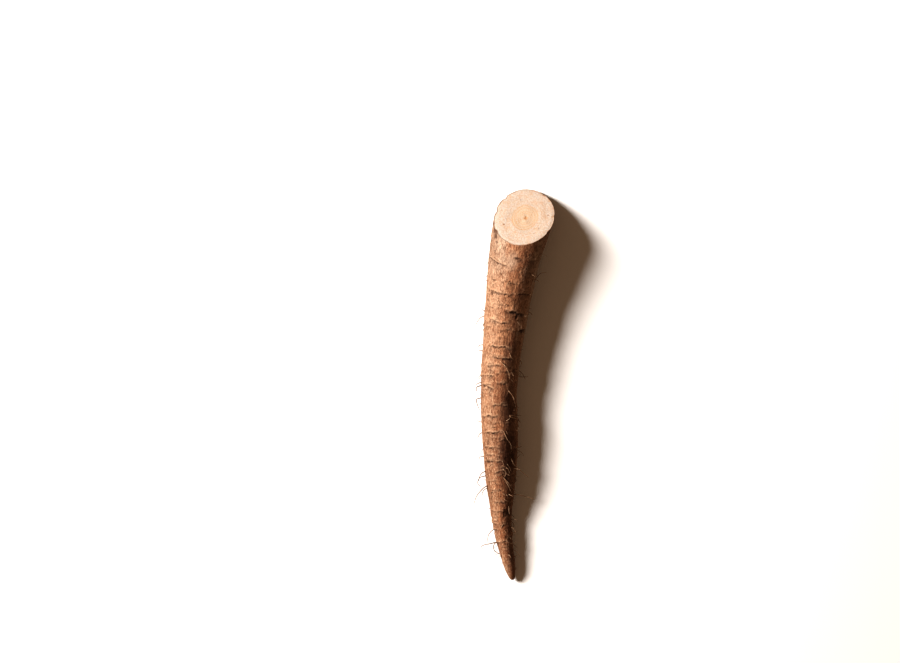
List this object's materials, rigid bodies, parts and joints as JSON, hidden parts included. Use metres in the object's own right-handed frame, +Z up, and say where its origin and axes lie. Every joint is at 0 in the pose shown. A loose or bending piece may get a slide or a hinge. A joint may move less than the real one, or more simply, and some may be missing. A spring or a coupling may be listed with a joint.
{
  "type": "burdock root",
  "caption": "Tapering, slightly bent tap root with rough ridged skin, cut off slantwise at its thick end, lying on its side.",
  "frame": {"origin": "on the surface that the root lies on, under the middle of its bounding box", "axes": "+Z up from the surface; the root lies along Y, with its cut end towards +Y and its tip towards -Y"},
  "size_m": [0.0414, 0.2208, 0.0306],
  "materials": {
    "root_skin": "matte",
    "rootlet": "matte"
  },
  "bodies": {
    "root": {"burdock_root": "root_skin"}
  },
  "joints": []
}
